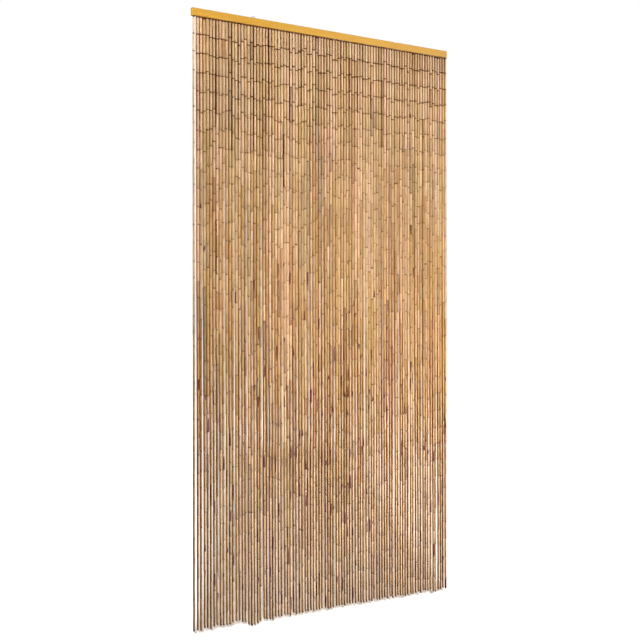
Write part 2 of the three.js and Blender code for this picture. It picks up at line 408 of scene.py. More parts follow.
def strand_point(strand, share):
    """The middle of a strand in the curtain's width and depth, at a share of its drop."""
    depth = uneven(strand, *STRAY_DEPTH_BOTTOM) * share
    depth += uneven(strand, *STRAY_DEPTH_MIDDLE) * math.sin(math.pi * share) ** 2
    return strand_home(strand) + strand_shift(strand, share), BAR_MIDDLE + depth


def strand_length(strand):
    """From the underside of the bar to the end of the strand."""
    length = STRAND_DROP + BAR_LOW.z + uneven(strand, *STRAY_LENGTH)
    return length + sum(lower * MM for first, last, lower in LOWER_ENDS if first <= strand <= last)


def threading():
    """For each strand, how much longer its first cane is and how much longer its others are, on average.

    Neighbours share much of the first, as they were cut and threaded together.
    """
    draw = np.random.default_rng(SEED)
    shared = []
    while len(shared) < STRANDS:
        together = int(draw.integers(*THREADED_TOGETHER))
        shared += [draw.uniform(-FIRST_CANE_SHARED, FIRST_CANE_SHARED)] * together
    first_longer = np.array(shared[:STRANDS]) + draw.uniform(-FIRST_CANE_OWN, FIRST_CANE_OWN, STRANDS)
    odd = draw.random(STRANDS) < ODD_FIRST_CANES
    first_longer[odd] += draw.uniform(*ODD_FIRST_CANE, odd.sum()) * draw.choice((-1, 1), odd.sum())
    longer = draw.normal(0, PITCH_DRIFT, STRANDS)
    return np.stack([first_longer, longer], axis=1)


def cane_spans(strand, first_longer, longer):
    """The upper and lower end of each cane of a strand, as two arrays of heights."""
    canes = bpy.context.scene.fly_curtain_canes
    string = bpy.context.scene.fly_curtain_string
    draw = np.random.default_rng((SEED, strand))
    top = BAR_LOW.z - canes.first_gap
    bottom = BAR_LOW.z - strand_length(strand) + string.end_knot_height
    pitch = canes.pitch + longer
    count = round((top - bottom) / pitch)
    pitches = pitch + draw.normal(0, 1, count) * read_off(UNEVEN_PITCH, np.arange(count))
    pitches[0] = canes.pitch + first_longer
    pitches[-1] *= draw.uniform(*LAST_CANE_SHARE)
    left_over = (top - bottom) - pitches.sum() + canes.low_joint_gap
    settled = count // 3
    pitches[settled:] += left_over / (count - settled)
    upper = top - np.concatenate([[0], np.cumsum(pitches)[:-1]])
    gaps = np.linspace(canes.joint_gap, canes.low_joint_gap, count) * draw.uniform(*UNEVEN_GAPE, count)
    gaps[-1] = canes.low_joint_gap
    return upper, upper - pitches + gaps


def new_object(name, data):
    """A new object in the scene."""
    made = bpy.data.objects.new(name, data)
    bpy.context.scene.collection.objects.link(made)
    return made


def strand_piece(name, points, quads, smooth, corners, material):
    """A piece in place of the frame's comb, from points, four-cornered faces and their map corners."""
    mesh = bpy.data.meshes.new(name)
    mesh.vertices.add(len(points))
    mesh.vertices.foreach_set("co", points.astype(np.float32).ravel())
    mesh.loops.add(quads.size)
    mesh.loops.foreach_set("vertex_index", quads.astype(np.int32).ravel())
    mesh.polygons.add(len(quads))
    mesh.polygons.foreach_set("loop_start", np.arange(0, quads.size, 4, dtype=np.int32))
    mesh.polygons.foreach_set("use_smooth", smooth)
    mesh.update(calc_edges=True)
    layer = mesh.uv_layers.new(name=UV_MAP)
    layer.uv.foreach_set("vector", corners.astype(np.float32).ravel())
    mesh.materials.append(material)
    piece = new_object(name, mesh)
    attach(piece, BODY)
    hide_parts("strand_comb")
    return piece


def keep_values(piece, name, values, domain="POINT"):
    """Stores one value for each point or face, for the material to read."""
    kind, key = VALUE_KINDS[values[0].size]
    attribute = piece.data.attributes.new(name, kind, domain)
    attribute.data.foreach_set(key, values.astype(np.float32).ravel())


def grid(*counts):
    """The places in a grid with so many steps each way, as one array for each way."""
    return np.meshgrid(*[np.arange(count) for count in counts], indexing="ij")


def ring_faces(bodies, rings, sides, closed):
    """Four-cornered faces between the rings of equal bodies, facing outwards where the rings go up."""
    body, ring, side = grid(bodies, rings if closed else rings - 1, sides)
    start = body * rings * sides
    here = start + ring * sides
    above = start + (ring + 1) % rings * sides
    after = (side + 1) % sides
    corners = (here + side, here + after, above + after, above + side)
    return np.stack([c.ravel() for c in corners], axis=1)


def map_corners(across, up):
    """The corners of faces on the map, from functions that give a place 0 or 1 steps across and up."""
    steps = ((0, 0), (1, 0), (1, 1), (0, 1))
    return np.stack([np.stack([across(right), up(above)], -1) for right, above in steps], -2).reshape(-1, 2)


def cane_colours(shares, strands, canes, draw):
    """A colour for each cane, which changes slowly down each strand, as canes cut in a row look alike."""
    palette = np.array([list(getattr(canes, name)) for name in COLOUR_SHARES])
    weights = np.array([np.interp(shares, COLOURS_AT, row) for row in COLOUR_SHARES.values()])
    reach = np.cumsum(weights, axis=0)
    chance = draw.random(len(shares)) * reach[-1]
    colours = palette[(chance >= reach).sum(axis=0).clip(max=len(palette) - 1)]
    colours += (weights.T @ palette - colours) * read_off(COLOURS_ALIKE, shares)[:, None]
    colours *= draw.normal(1, COLOUR_STRAY, colours.shape).clip(*COLOUR_LIMITS)
    for cane in range(1, len(shares)):
        if strands[cane] == strands[cane - 1] and draw.random() < COLOUR_HELD:
            colours[cane] = colours[cane - 1]
    colours *= draw.normal(1, SHADE_STRAY, len(shares)).clip(*SHADE_LIMITS)[:, None]
    first = strands == 1
    own, weathered = FIRST_STRAND_MIX
    mix = colours[first] * own + np.array(list(canes.grey_buff)) * weathered
    colours[first] = mix * read_off(FIRST_STRAND_SHADE, shares[first])[:, None]
    return colours.clip(0, BRIGHTEST)


def cut_canes(strands, threaded):
    """The canes of one piece as arrays, one entry for each cane."""
    canes = bpy.context.scene.fly_curtain_canes
    draw = np.random.default_rng((SEED, strands[0], CANE_DRAWS))
    spans = [cane_spans(s, *threaded[s - 1]) for s in strands]
    per_strand = [len(upper) for upper, _ in spans]
    count = sum(per_strand)
    cut = SimpleNamespace(strand=np.repeat(strands, per_strand))
    cut.upper, cut.lower = (np.concatenate(ends) for ends in zip(*spans))
    cut.end = BAR_LOW.z - np.array([strand_length(s) for s in cut.strand])
    share = (BAR_LOW.z - (cut.upper + cut.lower) / 2) / (BAR_LOW.z - cut.end)
    taper = canes.top_diameter + (canes.bottom_diameter - canes.top_diameter) * read_off(NARROWING, share)
    thin = np.where(cut.strand == 1, read_off(FIRST_STRAND_THIN, share), 1.0)
    thick = draw.normal(0, 1, count).clip(*THICKNESS_LIMITS) * read_off(UNEVEN_THICKNESS, share)
    cut.radius = taper / 2 * thin * (1 + thick)
    cut.bore = cut.radius * canes.bore_share * draw.uniform(*UNEVEN_BORE, count)
    cut.knuckle = draw.random(count) < canes.knuckle_share
    cut.knuckle_at = draw.uniform(*KNUCKLE_AT, count)
    cut.colour = cane_colours(share, cut.strand, canes, draw)
    cut.stain = draw.random(count) < read_off(STAINED, share)
    cut.stain_turn = draw.choice((LEFT_SIDE, RIGHT_SIDE), count) + draw.normal(0, STAIN_TURN, count)
    cut.stain_reach = draw.uniform(*STAIN_REACH, count)
    cut.stain_from_top = draw.random(count) < 0.5
    # Chosen strands get painted shade down one side, a dark groove beside them, through the same mask as the
    # stains
    for facing, stretches in PAINTED_GROOVE_SIDES.items():
        for strand, start, end in stretches:
            dark = (cut.strand == strand) & (share >= start) & (share < end)
            cut.stain |= dark
            cut.stain_turn[dark] = facing
            cut.stain_reach[dark] = WHOLE_CANE
    # Painted shade on the sides that face the neighbouring strands, darker on some strands and canes than
    # others
    strand_side_shade = np.repeat(draw.uniform(*PAINTED_SIDE_SHADE_BY_STRAND, len(strands)), per_strand)
    cut.grime = read_off(PAINTED_SIDE_SHADE, share) * strand_side_shade * draw.uniform(*PAINTED_SIDE_SHADE_BY_CANE, count)
    # The first canes' dark upper end reaches further down, as a painted shadow of the bar
    cut.dark_top = np.where(cut.upper == cut.upper.max(), PAINTED_BAR_SHADOW, 0)
    cut.even_ends = read_off(EVENLY_DARK_ENDS, share)
    cut.turn = draw.uniform(0, 2 * math.pi, count)
    cut.oval = draw.uniform(0, OVAL, count)
    cut.oval_turn = draw.uniform(0, 2 * math.pi, count)
    cut.bow = draw.normal(0, BOW, (count, 2)).clip(-MOST_BOW, MOST_BOW)
    cut.sway = draw.uniform(-SWAY, SWAY, (count, 2, 2))
    cut.end_slope = draw.normal(0, END_SLOPE, (count, 2, 2)).clip(-MOST_END_SLOPE, MOST_END_SLOPE)
    cut.grain_start = draw.uniform(0, GRAIN_SPREAD, (count, 3))
    return cut


def some_canes(cut, chosen):
    """The same arrays for the chosen canes only."""
    return SimpleNamespace(**{name: values[chosen] for name, values in vars(cut).items()})


def from_ends(ends, share):
    """What a cane has at a share of its length, from what it has at its two ends."""
    return ends[:, 0] * (1 - share) + ends[:, 1] * share


def deepened(value, least, rate):
    """0 up to the least value, and then more at an even rate, up to 1."""
    return (rate * (value - least)).clip(0, 1)


def cane_rings(cut, rings):
    """Points of the canes, shaped (canes, rings, sides, 3), and the values that the material reads there."""
    length = cut.upper - cut.lower
    angle = cut.turn[:, None] + np.arange(CANE_SIDES) * 2 * math.pi / CANE_SIDES
    oval = 1 + cut.oval[:, None] * np.cos(2 * (angle - cut.oval_turn[:, None]))
    # The mask of the stains and of the painted dark grooves, round the cane
    stain_and_groove_side = deepened(np.cos(angle - cut.stain_turn[:, None]), *STAIN_AND_GROOVE_EDGE)
    # Painted shade on the sides that face the neighbouring strands
    side_shade_facing = deepened(abs(np.cos(angle)), *PAINTED_SIDE_SHADE_EDGE)
    points = np.zeros((len(length), len(rings), CANE_SIDES, 3))
    read = {name: np.zeros(points.shape[:3]) for name in ("from_end", "knuckle", "stain", "grime")}
    for r, (at, shift, wall, stands_out, line) in enumerate(rings):
        along = (cut.knuckle_at if at is None else at) * length + shift
        share = (along / length)[:, None]
        height = cut.lower + along
        drop = (BAR_LOW.z - height) / (BAR_LOW.z - cut.end)
        middle = np.array([strand_point(s, d) for s, d in zip(cut.strand, drop)])
        middle = middle + cut.bow * 4 * share * (1 - share) + from_ends(cut.sway, share)
        radius = cut.bore if wall == "bore" else cut.radius + stands_out
        reach = radius[:, None] * (oval if wall == "skin" else 1)
        x = reach * np.cos(angle)
        y = reach * np.sin(angle)
        slope = from_ends(cut.end_slope, share) * (at in (0, 1))
        points[:, r, :, 0] = middle[:, :1] + x
        points[:, r, :, 1] = middle[:, 1:] + y
        points[:, r, :, 2] = height[:, None] + x * slope[:, :1] + y * slope[:, 1:]
        down = np.where(cut.stain_from_top[:, None], 1 - share, share)
        reached = deepened(cut.stain_reach[:, None] - down, *STAIN_AND_GROOVE_END) * cut.stain[:, None]
        # At the first canes' upper ends the distance is cut short by the painted shadow of the bar
        read["from_end"][:, r] = np.minimum(along, length - along - cut.dark_top)[:, None]
        read["knuckle"][:, r] = line
        read["stain"][:, r] = stain_and_groove_side * reached
        read["grime"][:, r] = (side_shade_facing * cut.grime[:, None]).clip(0, 1)
    return points, read


def cane_cells(cells, rings, strips_high):
    """Map corners for canes that each fill one cell of a grid, unrolled: across by side and up by ring."""
    inner = 1 - 2 * CELL_MARGIN
    across = (np.arange(CANE_SIDES + 1) / CANE_SIDES * inner + CELL_MARGIN) / CELL_COLUMNS
    up = np.concatenate([[0], np.cumsum(strips_high)])
    up = (up / up[-1] * inner + CELL_MARGIN) / CELL_ROWS
    cell, ring, side = grid(len(cells), rings, CANE_SIDES)
    left = (cells % CELL_COLUMNS)[cell] / CELL_COLUMNS
    low = (cells // CELL_COLUMNS)[cell] / CELL_ROWS
    return map_corners(lambda right: left + across[side + right], lambda above: low + up[ring + above])


def strip_heights(rings, length):
    """Height on the map of the strip above each ring, in millimetres of cane. The bore gets little."""
    places = [((0.5 if at is None else at) * length + shift, out) for at, shift, _, out, _ in rings]
    high = [max(math.dist(a, b) / MM, LOWEST_STRIP) for a, b in zip(places, places[1:])]
    return [CUT_END_STRIP, *high[1:-1], CUT_END_STRIP, BORE_STRIP]


def cane_part(whole, chosen, rings):
    """Points, faces, map corners and stored values of the chosen canes, all with the same rings."""
    cut = some_canes(whole, chosen)
    points, read = cane_rings(cut, rings)
    count, ring_count = points.shape[:2]
    per_cane = ring_count * CANE_SIDES
    zones = np.full(ring_count, SKIN)
    zones[[0, -2]] = CUT_END
    zones[-1] = BORE
    middle = points.mean(axis=(1, 2), keepdims=True)
    grain_at = points - middle + cut.grain_start[:, None, None, :]
    mean_length = float((whole.upper - whole.lower).mean())
    return {
        "points": points.reshape(-1, 3),
        "quads": ring_faces(count, ring_count, CANE_SIDES, closed=True),
        "corners": cane_cells(chosen, ring_count, strip_heights(rings, mean_length)),
        "cane_zone": np.tile(np.repeat(zones, CANE_SIDES), count),
        "grain_at": grain_at.reshape(-1, 3),
        "cane_colour": np.repeat(np.column_stack([cut.colour, np.ones(count)]), per_cane, axis=0),
        "even_ends": np.repeat(cut.even_ends, per_cane),
        **{name: values.reshape(-1) for name, values in read.items()},
    }


def cane_piece(name, strands, threaded, material):
    """One joined mesh with the canes of some neighbouring strands."""
    cut = cut_canes(strands, threaded)
    plain = cane_part(cut, np.flatnonzero(~cut.knuckle), PLAIN_RINGS)
    knuckled = cane_part(cut, np.flatnonzero(cut.knuckle), KNUCKLE_RINGS)
    knuckled["quads"] += len(plain["points"])
    made = {key: np.concatenate([plain[key], knuckled[key]]) for key in plain}
    points, quads, corners, zones = (made.pop(key) for key in ("points", "quads", "corners", "cane_zone"))
    piece = strand_piece(name, points, quads, zones == SKIN, corners, material)
    keep_values(piece, "cane_zone", zones, "FACE")
    for value_name, values in made.items():
        keep_values(piece, value_name, values)


def strand_string(strand, threaded, string):
    """The heights and radii of one string, from its hole in the bar through every joint to its end knot."""
    upper, lower = cane_spans(strand, *threaded)
    knot = string.knot_diameter / 2
    thin = string.diameter / 2
    bottom = BAR_LOW.z - strand_length(strand)
    rows = [(BAR_LOW.z + string.depth_in_bar, thin), (BAR_LOW.z - STRING_BELOW_BAR, thin)]
    for above, below in zip(lower[:-1], upper[1:]):
        rows += [(above + KNOT_REACH, thin), (above, knot * KNOT_AT_CANES), ((above + below) / 2, knot)]
        rows += [(below, knot * KNOT_AT_CANES), (below - KNOT_REACH, thin)]
    end_top = bottom + string.end_knot_height
    rows.append((end_top + END_KNOT_REACH, thin))
    rows += [(end_top - share * string.end_knot_height, knot * wide) for share, wide in END_KNOT]
    tail_at, tail_thin = END_KNOT_TAIL
    return rows + [(end_top - tail_at * string.end_knot_height, thin), (bottom, thin * tail_thin)]


def string_corners(strand, rows):
    """Map corners for a string that fills one column of its map, and for the faces that close its ends."""
    ring, side = grid(rows - 1, STRING_SIDES)
    left = (strand - 1 + STRING_MARGIN) / STRANDS
    width = (1 - 2 * STRING_MARGIN) / STRANDS
    high = COLUMN_HIGH - COLUMN_LOW
    column = map_corners(
        lambda right: left + (side + right) / STRING_SIDES * width,
        lambda above: COLUMN_LOW + high * (ring + above) / rows,
    )
    cap = np.arange(4)
    caps = map_corners(
        lambda right: left + width * (cap + CAP_WIDTH * right) / 4,
        lambda above: np.full(4, CAP_HIGH if above else CAP_LOW),
    )
    return np.concatenate([column, caps])


def strings_piece(threaded, material):
    """Every string with its knots, as one joined mesh."""
    string = bpy.context.scene.fly_curtain_string
    angle = np.arange(STRING_SIDES) * 2 * math.pi / STRING_SIDES
    points, quads, twist, corners = [], [], [], []
    start = 0
    for strand in range(1, STRANDS + 1):
        rows = np.array(strand_string(strand, threaded[strand - 1], string))
        height = np.repeat(rows[:, 0], STRING_SIDES)
        wobble = np.random.default_rng((SEED, strand, STRING_DRAWS)).uniform(-1, 1, height.shape)
        radius = np.repeat(rows[:, 1], STRING_SIDES) * (1 + UNEVEN_STRING * wobble)
        share = ((BAR_LOW.z - height) / strand_length(strand)).clip(0, 1)
        middle = np.array([strand_point(strand, s) for s in share])
        turn = np.tile(angle, len(rows))
        round_middle = radius[:, None] * np.column_stack([np.cos(turn), np.sin(turn)])
        points.append(np.column_stack([middle + round_middle, height]))
        twist.append(np.column_stack([turn, np.full(len(turn), strand), height]))
        last = start + len(turn) - STRING_SIDES
        quads += [
            ring_faces(1, len(rows), STRING_SIDES, closed=False) + start,
            np.array([[0, 5, 4, 1], [1, 4, 3, 2]]) + start,
            np.array([[0, 1, 4, 5], [1, 2, 3, 4]]) + last,
        ]
        corners.append(string_corners(strand, len(rows)))
        start += len(turn)
    points = np.concatenate(points)
    quads = np.concatenate(quads)[:, ::-1]
    corners = np.concatenate(corners).reshape(-1, 4, 2)[:, ::-1]
    smooth = np.ones(len(quads), bool)
    piece = strand_piece("strings_and_knots", points, quads, smooth, corners, material)
    keep_values(piece, "twist_at", np.concatenate(twist))


def new_group(name, masks, **amounts):
    """An empty shader node group that takes a place and these amounts, and puts out these masks."""
    group = bpy.data.node_groups.new(name, "ShaderNodeTree")
    group.interface.new_socket("Place", in_out="INPUT", socket_type="NodeSocketVector")
    for amount_name, amount in amounts.items():
        socket = group.interface.new_socket(amount_name, in_out="INPUT", socket_type="NodeSocketFloat")
        socket.default_value = amount
    for mask_name in masks:
        group.interface.new_socket(mask_name, in_out="OUTPUT", socket_type="NodeSocketFloat")
    return group, group.nodes.new("NodeGroupInput").outputs, group.nodes.new("NodeGroupOutput")


def add(tree, kind, **settings):
    """A new node with these settings."""
    node = tree.nodes.new(kind)
    for key, value in settings.items():
        setattr(node, key, value)
    return node


def fill(tree, sockets, values):
    """Links or sets sockets in their order, each to another node's socket or to a value."""
    for socket, value in zip(sockets, values):
        if isinstance(value, bpy.types.NodeSocket):
            tree.links.new(value, socket)
        else:
            socket.default_value = value


def plug(tree, node, **values):
    """Links or sets a node's inputs. A name's underscores stand for spaces."""
    fill(tree, [node.inputs[key.replace("_", " ")] for key in values], values.values())
    return node


def math_node(tree, operation, *values):
    """A Math node's result."""
    node = add(tree, "ShaderNodeMath", operation=operation)
    fill(tree, node.inputs, values)
    return node.outputs[0]


def times(tree, first, second):
    """Two values multiplied."""
    return math_node(tree, "MULTIPLY", first, second)


def plus(tree, first, second):
    """Two values added."""
    return math_node(tree, "ADD", first, second)


def spread_to(tree, value, low, high, new_low=0.0, new_high=1.0, kind="SMOOTHSTEP"):
    """A value taken from one range to another."""
    node = add(tree, "ShaderNodeMapRange", interpolation_type=kind)
    plug(tree, node, Value=value, From_Min=low, From_Max=high, To_Min=new_low, To_Max=new_high)
    return node.outputs["Result"]


def mixed(tree, factor, first, second, blend="MIX"):
    """Two colours mixed by a factor."""
    node = add(tree, "ShaderNodeMix", data_type="RGBA", blend_type=blend)
    fill(tree, (node.inputs[0], node.inputs[6], node.inputs[7]), (factor, first, second))
    return node.outputs[2]


def tinted(tree, colour, tint):
    """A colour multiplied by a tint."""
    return mixed(tree, 1.0, colour, tint, "MULTIPLY")


def laid_over(tree, colour, mask, amount, top):
    """A colour with another laid over it where the mask is, by the amount."""
    return mixed(tree, times(tree, mask, amount), colour, top)


def stretched(tree, place, scale):
    """A place scaled by a different amount along each axis."""
    node = add(tree, "ShaderNodeVectorMath", operation="MULTIPLY")
    fill(tree, node.inputs, (place, scale))
    return node.outputs[0]


def noise(tree, place, scale, detail, roughness=0.5):
    """A noise value over a place."""
    node = add(tree, "ShaderNodeTexNoise")
    return plug(tree, node, Vector=place, Scale=scale, Detail=detail, Roughness=roughness).outputs["Fac"]


def bump(tree, height, distance):
    """A Bump node's normal."""
    return plug(tree, add(tree, "ShaderNodeBump"), Height=height, Distance=distance).outputs["Normal"]


def stored(tree, name, output="Fac"):
    """A value kept on the mesh."""
    return add(tree, "ShaderNodeAttribute", attribute_name=name).outputs[output]


def object_place(tree):
    """The place on the object, in its own coordinates."""
    return add(tree, "ShaderNodeTexCoord").outputs["Object"]


def rgba(colour):
    """A property's colour with full alpha."""
    return (*colour, 1.0)


def fibre_streaks():
    """The group for long thin streaks along Z, coarse and fine, as in cane and in wood laid along Z."""
    group, given, end = new_group("fibre_streaks", ("Coarse", "Fine"), Fineness=1.0)
    scaled = add(group, "ShaderNodeVectorMath", operation="SCALE")
    place = plug(group, scaled, Vector=given["Place"], Scale=given["Fineness"]).outputs[0]
    coarse = noise(group, stretched(group, place, (1, 1, 0.05)), 500.0, 2.0, 0.55)
    fine = noise(group, stretched(group, place, (1, 1, 0.02)), 2200.0, 2.0, 0.6)
    plug(group, end, Coarse=spread_to(group, coarse, 0.3, 0.7), Fine=spread_to(group, fine, 0.3, 0.7))
    return group


def blotches():
    """The group for soft uneven patches."""
    group, given, end = new_group("blotches", ("Mask",), Scale=40.0, Amount=0.5)
    value = noise(group, given["Place"], given["Scale"], 3.0, 0.6)
    edge = math_node(group, "SUBTRACT", 1.0, given["Amount"])
    plug(group, end, Mask=spread_to(group, value, edge, plus(group, edge, 0.16)))
    return group


def edge_wear():
    """The group for where an edge turns, broken up unevenly."""
    group, given, end = new_group("edge_wear", ("Mask",), Width=1 * MM, Scale=200.0)
    rounded = plug(group, add(group, "ShaderNodeBevel", samples=4), Radius=given["Width"])
    flat = add(group, "ShaderNodeNewGeometry")
    dot = add(group, "ShaderNodeVectorMath", operation="DOT_PRODUCT")
    fill(group, dot.inputs, (rounded.outputs["Normal"], flat.outputs["Normal"]))
    turned = spread_to(group, dot.outputs["Value"], 0.995, 0.90)
    broken = noise(group, given["Place"], given["Scale"], 3.0)
    plug(group, end, Mask=times(group, turned, spread_to(group, broken, 0.35, 0.6)))
    return group


def placed_group(tree, maker, **values):
    """A shared group's outputs, placed in a material with its inputs. It is made when first asked for."""
    group = bpy.data.node_groups.get(maker.__name__) or maker()
    return plug(tree, add(tree, "ShaderNodeGroup", node_tree=group), **values).outputs


def new_material(name):
    """A material with only its Principled BSDF and output."""
    material = bpy.data.materials.new(name)
    material.use_nodes = True
    return material, material.node_tree, material.node_tree.nodes["Principled BSDF"]


def bamboo_cane_material():
    """Dried cane: waxy skin with long fibres, dark joints and knuckles, pale cut ends and a brown bore."""
    canes = bpy.context.scene.fly_curtain_canes
    material, tree, shader = new_material("bamboo_cane")
    place = stored(tree, "grain_at", "Vector")
    own = stored(tree, "cane_colour", "Color")
    zone = stored(tree, "cane_zone")
    grime = stored(tree, "grime")
    coarse, fine = placed_group(tree, fibre_streaks, Place=place, Fineness=1.0)
    colour = mixed(tree, spread_to(tree, coarse, 0, 1, 0.0, 0.6), own, tinted(tree, own, FIBRE_TINT))
    squat = stretched(tree, place, (1, 1, 0.25))
    patches = placed_group(tree, blotches, Place=squat, Scale=160.0, Amount=0.42)["Mask"]
    colour = laid_over(tree, colour, patches, 0.45, tinted(tree, colour, SPOT_TINT))
    # Painted shade on the sides that face the neighbouring strands
    colour = mixed(tree, grime, colour, tinted(tree, colour, PAINTED_SIDE_SHADE_TINT))
    # Stains, and the painted shade of dark grooves down chosen strands, in maroon
    ragged = noise(tree, stretched(tree, place, (1, 1, 0.2)), 700.0, 3.0)
    stain_and_groove_mask = plus(tree, stored(tree, "stain"), spread_to(tree, ragged, 0, 1, -0.4, 0.4))
    stain_and_groove_mask = spread_to(tree, stain_and_groove_mask, 0.4, 0.6)
    colour = laid_over(tree, colour, stain_and_groove_mask, 0.9, rgba(canes.maroon))
    # Dark joint ends, with the painted shadow of the bar at the first canes' tops, and the knuckles' dark
    # lines
    dark_end_and_bar_shadow = spread_to(tree, stored(tree, "from_end"), 1.2 * MM, 2.4 * MM, 0.97, 0.0)
    uneven_end = noise(tree, place, 180.0, 1.0)
    uneven_end = spread_to(tree, uneven_end, 0.48, 0.60, stored(tree, "even_ends"), 1.0)
    line = times(tree, spread_to(tree, stored(tree, "knuckle"), 0.45, 0.95), 0.75)
    dark = math_node(tree, "MAXIMUM", times(tree, dark_end_and_bar_shadow, uneven_end), line)
    colour = mixed(tree, dark, colour, tinted(tree, colour, DARK_END_TINT))
    cut_end = mixed(tree, 0.5, own, CUT_END_COLOUR)
    inside = mixed(tree, spread_to(tree, zone, 0.2, 0.3), BORE_COLOUR, cut_end)
    colour = mixed(tree, spread_to(tree, zone, 0.7, 0.8), inside, colour)
    rough = spread_to(tree, fine, 0, 1, 0.36, 0.52, "LINEAR")
    for mask, rougher in ((patches, 0.12), (stain_and_groove_mask, 0.25), (grime, 0.3)):
        rough = plus(tree, rough, times(tree, mask, rougher))
    normal = bump(tree, plus(tree, coarse, times(tree, fine, 0.5)), 0.08 * MM)
    plug(tree, shader, Base_Color=colour, Roughness=rough, Specular_IOR_Level=0.13, Normal=normal)
    return material


def twine_material():
    """Dark brown twine with its lay winding round."""
    colour = rgba(bpy.context.scene.fly_curtain_string.colour)
    material, tree, shader = new_material("dark_twine")
    place = stored(tree, "twist_at", "Vector")
    axes = plug(tree, add(tree, "ShaderNodeSeparateXYZ"), Vector=place).outputs
    wound = plus(tree, axes["X"], times(tree, axes["Z"], 3500.0))
    lay = math_node(tree, "ABSOLUTE", math_node(tree, "SINE", wound))
    light = tinted(tree, colour, LAY_TINT)
    streaks = placed_group(tree, fibre_streaks, Place=place, Fineness=0.01)
    colour = laid_over(tree, colour, lay, 0.6, light)
    colour = laid_over(tree, colour, streaks["Coarse"], 0.3, light)
    rough = spread_to(tree, lay, 0, 1, 0.8, 0.62, "LINEAR")
    plug(tree, shader, Base_Color=colour, Roughness=rough, Normal=bump(tree, lay, 0.2 * MM))
    return material


def varnished_wood_material():
    """Yellow varnished softwood with its grain along the bar and paler edges."""
    bar = bpy.context.scene.fly_curtain_bar
    material, tree, shader = new_material("varnished_wood")
    turned = add(tree, "ShaderNodeVectorRotate", rotation_type="Y_AXIS")
    place = plug(tree, turned, Vector=object_place(tree), Angle=math.radians(90)).outputs[0]
    streaks = placed_group(tree, fibre_streaks, Place=place, Fineness=0.55)
    drift = noise(tree, stretched(tree, place, (1, 1, 0.06)), 60.0, 2.0)
    rings = add(tree, "ShaderNodeTexWave", wave_type="RINGS", rings_direction="Z", wave_profile="SAW")
    plug(tree, rings, Vector=stretched(tree, place, (1, 1, 0.035)), Scale=110.0)
    plug(tree, rings, Distortion=5.0, Detail=2.0, Detail_Scale=0.6)
    late = spread_to(tree, rings.outputs["Fac"], 0.45, 1.0)
    late = times(tree, late, spread_to(tree, drift, 0.3, 0.7, 0.3, 1.0))
    colour = laid_over(tree, rgba(bar.varnish), late, 0.6, rgba(bar.grain))
    colour = laid_over(tree, colour, streaks["Coarse"], 0.25, rgba(bar.grain))
    long_patches = stretched(tree, place, (1, 1, 0.2))
    patches = placed_group(tree, blotches, Place=long_patches, Scale=30.0, Amount=0.5)["Mask"]
    colour = laid_over(tree, colour, patches, 0.6, tinted(tree, colour, VARNISH_TINT))
    # Every edge of the bar is laid over with a paler colour
    paler_edges = placed_group(tree, edge_wear, Place=object_place(tree), Width=1.2 * MM, Scale=90.0)["Mask"]
    colour = laid_over(tree, colour, paler_edges, 0.55, rgba(bar.bare_edge))
    rough = spread_to(tree, streaks["Fine"], 0, 1, 0.40, 0.52, "LINEAR")
    rough = plus(tree, rough, times(tree, paler_edges, 0.2))
    normal = bump(tree, plus(tree, streaks["Fine"], times(tree, late, 0.8)), 0.05 * MM)
    plug(tree, shader, Base_Color=colour, Roughness=rough, Specular_IOR_Level=0.12, Normal=normal)
    plug(tree, shader, Coat_Weight=0.04, Coat_Roughness=0.3)
    return material


def spotted_metal(tree, colour, spots, paler_edges):
    """A metal's colour with spots and worn edges, each as a scale, a size, a strength and a colour."""
    place = object_place(tree)
    scale, size, strength, spot_colour = spots
    spotted = placed_group(tree, blotches, Place=place, Scale=scale, Amount=size)["Mask"]
    colour = laid_over(tree, colour, spotted, strength, spot_colour)
    scale, size, strength, edge_colour = paler_edges
    rubbed = placed_group(tree, edge_wear, Place=place, Scale=scale, Width=size)["Mask"]
    return laid_over(tree, colour, rubbed, strength, edge_colour), spotted


def zinc_material():
    """Galvanized sheet: pale crystals of zinc with dull spots."""
    zinc = rgba(bpy.context.scene.fly_curtain_hangers.zinc)
    material, tree, shader = new_material("galvanized_zinc")
    place = object_place(tree)
    crystals = plug(tree, add(tree, "ShaderNodeTexVoronoi"), Vector=place, Scale=420.0)
    shade = add(tree, "ShaderNodeSeparateColor")
    shade = plug(tree, shade, Color=crystals.outputs["Color"]).outputs[0]
    colour = laid_over(tree, zinc, shade, 0.7, tinted(tree, zinc, ZINC_TINT))
    spots = (260.0, 0.42, 0.4, ZINC_SPOT)
    colour, spotted = spotted_metal(tree, colour, spots, (600.0, 0.4 * MM, 0.6, ZINC_EDGE))
    rough = plus(tree, spread_to(tree, shade, 0, 1, 0.28, 0.44, "LINEAR"), times(tree, spotted, 0.2))
    normal = bump(tree, noise(tree, place, 1500.0, 3.0), 0.04 * MM)
    plug(tree, shader, Base_Color=colour, Roughness=rough, Metallic=1.0, Normal=normal)
    return material


def screw_steel_material():
    """Plated screw steel with fine turning marks and darker hollows."""
    steel = rgba(bpy.context.scene.fly_curtain_hangers.steel)
    material, tree, shader = new_material("plated_screw_steel")
    marks = noise(tree, stretched(tree, object_place(tree), (1, 6, 1)), 900.0, 3.0)
    colour = mixed(tree, spread_to(tree, marks, 0.3, 0.7), steel, tinted(tree, steel, STEEL_TINT))
    spots = (700.0, 0.4, 0.5, STEEL_SPOT)
    colour, _ = spotted_metal(tree, colour, spots, (900.0, 0.3 * MM, 0.6, STEEL_EDGE))
    rough = spread_to(tree, marks, 0.3, 0.7, 0.24, 0.40, "LINEAR")
    normal = bump(tree, marks, 0.03 * MM)
    plug(tree, shader, Base_Color=colour, Roughness=rough, Metallic=1.0, Normal=normal)
    return material


